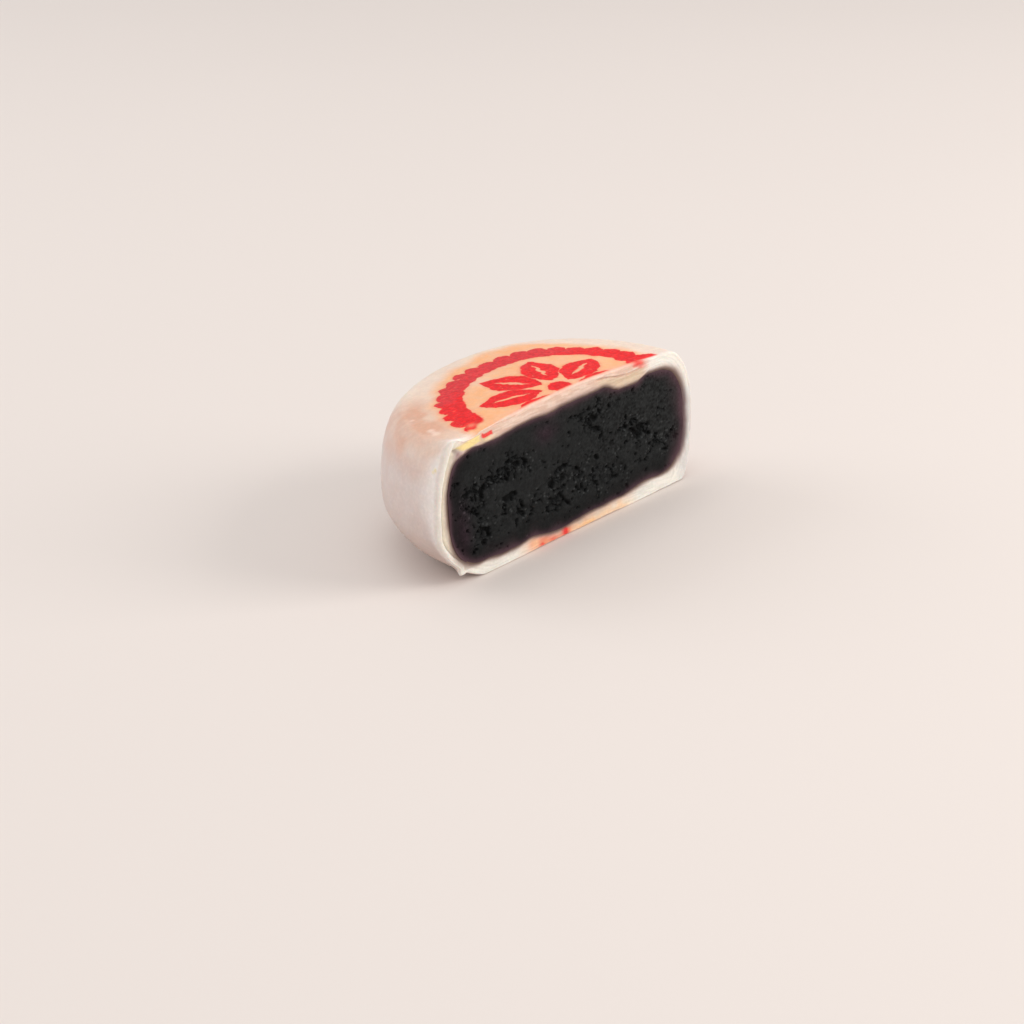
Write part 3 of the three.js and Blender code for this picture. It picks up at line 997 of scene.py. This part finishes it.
def blend_colour(tree, share, low, high):
    """Mixes two colours, each a plain value or a socket."""
    low = low if isinstance(low, bpy.types.NodeSocket) else (*low, 1)
    high = high if isinstance(high, bpy.types.NodeSocket) else (*high, 1)
    inputs = {0: share, 6: low, 7: high}
    return add(tree, "Mix", inputs, data_type="RGBA").outputs[2]


def noise(tree, place, size, detail=2.0, roughness=0.5):
    """A noise texture from 0 to 1 whose features are about that size."""
    inputs = {"Vector": place, "Scale": 1 / size, "Detail": detail, "Roughness": roughness}
    return add(tree, "TexNoise", inputs).outputs["Fac"]


def new_material(name):
    material = bpy.data.materials.new(name)
    material.use_nodes = True
    material.node_tree.nodes.clear()
    return material, material.node_tree


def bumped(tree, height, distance, strength=1.0, before=None):
    inputs = {"Height": height, "Distance": distance, "Strength": strength}
    if before:
        inputs["Normal"] = before
    return add(tree, "Bump", inputs).outputs["Normal"]


def surface(tree, inputs):
    shader = add(tree, "BsdfPrincipled", inputs)
    out = add(tree, "OutputMaterial")
    tree.links.new(shader.outputs[0], out.inputs["Surface"])


def ring_depth(tree, place, x, y, radius, turn):
    """How far inside the stamp's ring, whose outer edge has teeth and whose inner edge is wavy."""
    slanted = calc(tree, "ADD", turn, times(tree, radius, TOOTH_SLANT))
    teeth = times(tree, slanted, TEETH / 2)
    lobes = calc(tree, "POWER", calc(tree, "ABSOLUTE", calc(tree, "COSINE", teeth)), 0.7)
    tall = ramp(tree, noise(tree, place, 6 * MM), 0.3, 0.7, 0.5 * TOOTH, TOOTH)
    outer = calc(tree, "ADD", times(tree, lobes, tall), RING_OUTER)
    by_cut = ramp(tree, y, 0.2 * MM, 1.8 * MM, 2.2 * MM, 0.0)
    outer = calc(tree, "ADD", outer, times(tree, by_cut, ramp(tree, x, 0.0, 10 * MM)))
    wave = ramp(tree, y, -2 * MM, 6 * MM, 0.9 * MM, 0.2 * MM)
    inner_lobes = calc(tree, "ABSOLUTE", calc(tree, "SINE", teeth))
    inner = calc(tree, "SUBTRACT", RING_INNER + 0.3 * MM, times(tree, inner_lobes, wave))
    within = calc(tree, "SUBTRACT", outer, radius)
    return calc(tree, "MINIMUM", within, calc(tree, "SUBTRACT", radius, inner))


def stamp_depth(tree, place):
    """How far inside the stamp's dyed areas a place is: a toothed ring round a flower of eight petals."""
    inputs = {"Vector": place, "Scale": 1 / WANDER_SIZE, "Detail": 2.0}
    wander = add(tree, "TexNoise", inputs).outputs["Color"]
    shift = scaled(tree, vector(tree, "SUBTRACT", wander, (0.5, 0.5, 0.5)), WANDER)
    apart = vector(tree, "SUBTRACT", vector(tree, "ADD", place, shift), (STAMP_X, STAMP_Y, 0))
    x, y = part_of(tree, apart, 0), part_of(tree, apart, 1)
    radius = calc(tree, "SQRT", calc(tree, "ADD", times(tree, x, x), times(tree, y, y)))
    turn = calc(tree, "ARCTAN2", y, x)
    ring = ring_depth(tree, place, x, y, radius, turn)
    heart = calc(tree, "SUBTRACT", HEART_RADIUS, radius)
    return calc(tree, "MAXIMUM", ring, calc(tree, "MAXIMUM", petal_depth(tree, radius, turn), heart))


def petal_depth(tree, radius, turn):
    """How far inside one of eight broad petals, each with a short bare vein."""
    sector = 2 * math.pi / PETALS
    folded = calc(tree, "SUBTRACT", calc(tree, "FLOORED_MODULO", turn, sector), sector / 2)
    along = times(tree, radius, calc(tree, "COSINE", folded))
    across = calc(tree, "ABSOLUTE", times(tree, radius, calc(tree, "SINE", folded)))
    off = calc(tree, "DIVIDE", calc(tree, "SUBTRACT", along, PETAL_MIDDLE), PETAL_HALF_LENGTH)
    bulge = calc(tree, "SUBTRACT", 1.0, times(tree, off, off))
    leaf = calc(tree, "SUBTRACT", times(tree, bulge, PETAL_HALF_WIDTH), across)
    bare = times(tree, calc(tree, "SUBTRACT", bulge, 0.7), VEIN_HALF_WIDTH)
    return calc(tree, "MINIMUM", leaf, calc(tree, "SUBTRACT", across, bare))


def skin_colour(tree, place, mottle):
    """The skin: pale, darker and pinker toward the base in painted shade with a painted reflection, peach
    and toasted in places, white along the cut with a painted highlight, and specked with flour.
    """
    skin = blend_colour(tree, field(tree, "upper"), SKIN_SIDE, SKIN_TOP)
    # Painted shade low on the side, pinkish as a painted reflection
    skin = blend_colour(tree, times(tree, field(tree, "low"), 0.7), skin, SKIN_LOW_SHADED)
    skin = blend_colour(tree, ramp(tree, mottle, 0.35, 0.65, 0.35, 0.0), skin, SKIN_PINK)
    skin = blend_colour(tree, field(tree, "blush"), skin, BLUSH)
    patchy = times(tree, field(tree, "toast"), ramp(tree, mottle, 0.35, 0.65, 0.8, 1.0))
    skin = blend_colour(tree, patchy, skin, TOASTED)
    # Painted highlight on the skin along the cut edge
    skin = blend_colour(tree, times(tree, field(tree, "pale"), 0.9), skin, EDGE_HIGHLIGHT)
    dots = ramp(tree, noise(tree, place, 1.3 * MM, 3.0, 0.7), 0.66, 0.76)
    dots = times(tree, dots, field(tree, "blush"))
    return blend_colour(tree, calc(tree, "MAXIMUM", dots, field(tree, "floury")), skin, FLOURY)


def layers_colour(tree, flake):
    """The torn layers of dough on the cut rim, greyer at the right end as painted shade, and rosy along the
    base, partly as painted reflected red light.
    """
    # Painted shade: the rim greys at its right end
    layers = blend_colour(tree, field(tree, "right_shade_and_purple"), DOUGH_INSIDE, DOUGH_SHADED_GREY)
    pink = times(tree, field(tree, "pink"), ramp(tree, flake, -0.6, 0.6, 1.0, 0.75))
    layers = blend_colour(tree, pink, layers, DOUGH_PINK)
    for name, colour in (("deep", DOUGH_DEEP), ("baked", BAKED), ("rosy_and_reflected_red", ROSY_AND_REFLECTED_RED), ("tan", TAN)):
        layers = blend_colour(tree, field(tree, name), layers, colour)
    return layers


def stamped(tree, place, mottle, colour):
    """The dough's colour with the stamp's red dye on it, duller toward the back as painted sheen, worn in
    places, and a faint halo round it.
    """
    depth = stamp_depth(tree, place)
    on_top = ramp(tree, part_of(tree, place, 2), 22 * MM, 24 * MM)
    on_top = times(tree, on_top, field(tree, "printed"))
    halo = times(tree, ramp(tree, depth, -1.1 * MM, 0.0, 0.0, 0.3), on_top)
    colour = blend_colour(tree, halo, colour, HALO)
    # Painted sheen: the dye turns duller toward the back
    far = ramp(tree, part_of(tree, place, 1), 7 * MM, 19 * MM, -0.3, 0.3)
    dye = blend_colour(tree, ramp(tree, calc(tree, "ADD", mottle, far), 0.35, 0.65), DYE_BRIGHT, DYE_DULL_AND_SHEEN)
    dye = scaled(tree, dye, ramp(tree, noise(tree, place, 0.9 * MM, 3.0, 0.65), 0.35, 0.65, 0.8, 1.04))
    dyed = times(tree, ramp(tree, depth, -0.18 * MM, 0.18 * MM), on_top)
    worn = ramp(tree, noise(tree, place, 1.2 * MM, 4.0, 0.7), 0.22, 0.4, 0.55, 1.0)
    dabs = calc(tree, "MINIMUM", field(tree, "dab"), 0.9)
    return blend_colour(tree, calc(tree, "MAXIMUM", times(tree, dyed, worn), dabs), colour, dye)


def dough_material():
    """Pale baked dough: toasted discs, a pinkish shoulder, layers on the cut, and the red stamp."""
    material, tree = new_material("dough")
    place = add(tree, "TexCoord").outputs["Object"]
    mottle = noise(tree, place, 4 * MM, 4.0, 0.6)
    flour = noise(tree, place, 0.7 * MM, 3.0, 0.6)
    flake = field(tree, "flake")
    skin, layers = skin_colour(tree, place, mottle), layers_colour(tree, flake)
    colour = blend_colour(tree, field(tree, "cut"), skin, layers)
    colour = blend_colour(tree, times(tree, field(tree, "bleed"), 0.6), colour, BLEED)
    colour = blend_colour(tree, field(tree, "fatty"), colour, FATTY)
    colour = blend_colour(tree, field(tree, "dark_purple_spot"), colour, DARK_PURPLE)
    colour = stamped(tree, place, mottle, colour)
    # The mask of the painted shade at the right end also turns the oil stain purple there
    stain = blend_colour(tree, field(tree, "right_shade_and_purple"), STAIN, STAIN_PURPLE)
    colour = blend_colour(tree, field(tree, "stain"), colour, stain)
    dusted = ramp(tree, flour, 0.35, 0.75, 0.95, 1.03)
    dusted = times(tree, dusted, ramp(tree, flake, -0.8, 0.8, 0.94, 1.05))
    normal = bumped(tree, noise(tree, place, 0.5 * MM, 4.0, 0.6), 0.05 * MM, 0.5)
    surface(tree, {
        "Base Color": scaled(tree, colour, dusted),
        "Roughness": ramp(tree, flour, 0.3, 0.7, 0.52, 0.68),
        "Specular IOR Level": 0.22,
        "Subsurface Weight": 0.2,
        "Subsurface Radius": (1.0, 0.5, 0.3),
        "Subsurface Scale": 1.2 * MM,
        "Normal": bumped(tree, mottle, 0.2 * MM, 0.4, normal),
    })
    return material


def paste_material():
    """Near-black sesame paste, finely grained, browner and a little purple toward the dough."""
    material, tree = new_material("sesame_paste")
    place = add(tree, "TexCoord").outputs["Object"]
    grain = noise(tree, place, 0.22 * MM, 3.0, 0.7)
    patches = noise(tree, place, 5 * MM, 3.0, 0.5)
    tint = times(tree, field(tree, "brown"), ramp(tree, patches, 0.3, 0.7, 0.5, 1.0))
    colour = blend_colour(tree, tint, PASTE_DARK, PASTE_MARGIN)
    # The shade attribute carries painted shade in the creases and pits, and painted glints
    shade = times(tree, field(tree, "shade"), ramp(tree, grain, 0.3, 0.7, 0.75, 1.25))
    colour = scaled(tree, colour, shade)
    colour = blend_colour(tree, field(tree, "soaked"), colour, PASTE_EDGE)
    surface(tree, {
        "Base Color": colour,
        "Roughness": ramp(tree, grain, 0.3, 0.7, 0.5, 0.8),
        "Specular IOR Level": 0.06,
        "Normal": bumped(tree, grain, 0.08 * MM, 0.8),
    })
    return material


def add_floor():
    """A plain pale floor under the cake."""
    mesh = bpy.data.meshes.new("floor")
    signs = ((-1, -1), (1, -1), (1, 1), (-1, 1))
    corners = [(FLOOR_HALF * i, FLOOR_HALF * j, FLOOR_TOP) for i, j in signs]
    mesh.from_pydata(corners, [], [(0, 1, 2, 3)])
    floor = bpy.data.objects.new("floor", mesh)
    bpy.context.scene.collection.objects.link(floor)
    material, tree = new_material("pale_floor")
    place = add(tree, "TexCoord").outputs["Object"]
    even = ramp(tree, noise(tree, place, 0.3, 2.0), 0.2, 0.8, 0.0, 1.0)
    surface(tree, {
        "Base Color": blend_colour(tree, even, FLOOR_DARKER, FLOOR_COLOUR),
        "Roughness": 0.8,
        "Specular IOR Level": 0.2,
    })
    mesh.materials.append(material)


def add_light(name, direction, distance, size, power, colour):
    """A square soft light that shines at the cake from a direction."""
    data = bpy.data.lights.new(name, "AREA")
    data.shape = "SQUARE"
    data.size = size
    data.energy = power
    data.color = colour
    lamp = bpy.data.objects.new(name, data)
    away = Vector(direction).normalized()
    lamp.location = TARGET + away * distance
    lamp.rotation_mode = "QUATERNION"
    lamp.rotation_quaternion = away.to_track_quat("Z", "Y")
    bpy.context.scene.collection.objects.link(lamp)


def add_lights():
    """Soft studio light from three sides and all round."""
    for light in LIGHTS:
        add_light(*light)
    world = bpy.data.worlds.new("studio")
    world.use_nodes = True
    background = world.node_tree.nodes["Background"]
    background.inputs["Color"].default_value = (*WORLD_COLOUR, 1)
    background.inputs["Strength"].default_value = WORLD_STRENGTH
    bpy.context.scene.world = world


def add_camera():
    """The camera at the photograph's angle, turned so that the cake lies where it does there."""
    data = bpy.data.cameras.new("camera")
    data.sensor_width = SENSOR
    data.lens = LENS
    data.clip_start = 0.01
    camera = bpy.data.objects.new("camera", data)
    back = Vector((
        math.sin(AZIMUTH) * math.cos(ELEVATION),
        -math.cos(AZIMUTH) * math.cos(ELEVATION),
        math.sin(ELEVATION),
    ))
    focal = LENS / SENSOR * PICTURE
    camera.location = TARGET + back * DISTANCE
    camera.rotation_mode = "QUATERNION"
    turned = back.to_track_quat("Z", "Y") @ Quaternion((0, 0, 1), ROLL)
    turned = turned @ Quaternion((0, 1, 0), math.atan(TARGET_RIGHT / focal))
    camera.rotation_quaternion = turned @ Quaternion((1, 0, 0), -math.atan(TARGET_UP / focal))
    bpy.context.scene.collection.objects.link(camera)
    bpy.context.scene.camera = camera


def dress(piece, material, node):
    piece.data.materials.append(material)
    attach(piece, "root")
    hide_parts(node)


def main():
    bpy.context.scene.view_settings.view_transform = "Standard"
    add_camera()
    add_floor()
    add_lights()
    dress(make_crust(), dough_material(), "crust")
    dress(make_filling(), paste_material(), "filling")


main()
